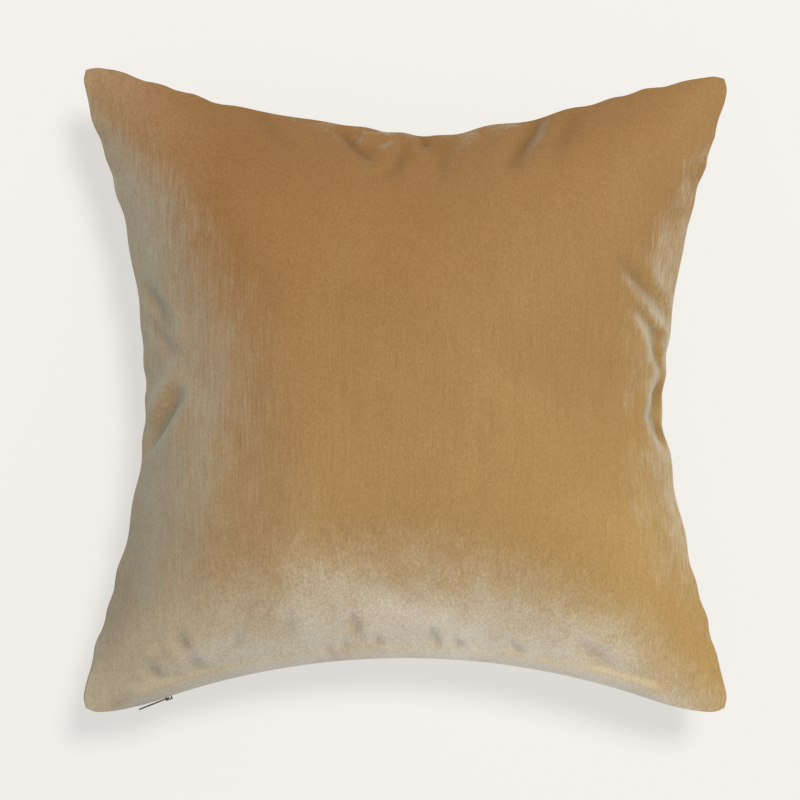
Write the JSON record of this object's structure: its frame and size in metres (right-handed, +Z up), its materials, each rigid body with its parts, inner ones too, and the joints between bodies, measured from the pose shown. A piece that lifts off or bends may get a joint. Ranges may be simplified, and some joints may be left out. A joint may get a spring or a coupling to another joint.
{
  "type": "throw pillow",
  "caption": "Square velvet throw pillow with a knife-edge zipped cover over a filled cotton insert, lying flat on its back.",
  "frame": {"origin": "on the floor under the middle of the pillow, at the centre of its bounding box's bottom", "axes": "+Z up, out of the front panel; +X to the right and +Y to the top edge as the front is looked at, with the zip in the side that faces -Y"},
  "size_m": [0.4816, 0.4836, 0.188],
  "materials": {
    "velvet": "golden camel cut-pile velvet that turns silver-grey where the pile lies away",
    "sewing_thread": "matt twisted polyester thread",
    "overlock_thread": "textured overlock thread",
    "zip_tape": "woven polyester tape",
    "zip_coil": "nylon coil",
    "zip_metal": "antique plated",
    "insert_cotton": "plain close-woven cotton",
    "insert_filling": "loose feather and fibre filling",
    "label_satin": "blank woven satin"
  },
  "bodies": {
    "pillow": {"front_panel": "velvet", "back_panel": "velvet", "seam_thread_left": "sewing_thread", "seam_thread_top": "sewing_thread", "seam_thread_right": "sewing_thread", "seam_thread_bottom_left": "sewing_thread", "seam_thread_bottom_right": "sewing_thread", "overlock_left": "overlock_thread", "overlock_top": "overlock_thread", "overlock_right": "overlock_thread", "care_label": "label_satin", "zip_tape_front": "zip_tape", "zip_tape_back": "zip_tape", "zip_coil_front": "zip_coil", "zip_coil_back": "zip_coil", "zip_stitch_front": "sewing_thread", "zip_stitch_back": "sewing_thread", "zip_top_stop_front": "zip_metal", "zip_top_stop_back": "zip_metal", "zip_bottom_stop": "zip_metal", "insert_case_front": "insert_cotton", "insert_case_back": "insert_cotton", "insert_seam_thread": "insert_cotton", "insert_closing_thread": "insert_cotton", "insert_label": "label_satin", "insert_filling": "insert_filling"},
    "zip_slider": {"zip_slider_body": "zip_metal"},
    "zip_pull": {"zip_pull_tab": "zip_metal"}
  },
  "joints": [
    {"name": "zip_travel", "type": "hinge", "parent": "pillow", "child": "zip_slider", "pos_m": [0, -0.76175, 0.092], "axis": [0, 0, -1], "range_deg": [0, 35.1]},
    {"name": "pull_swing", "type": "hinge", "parent": "zip_slider", "child": "zip_pull", "pos_m": [-0.17739, -0.23185, 0.092], "axis": [0, 0, 1], "range_deg": [0, 174]}
  ]
}
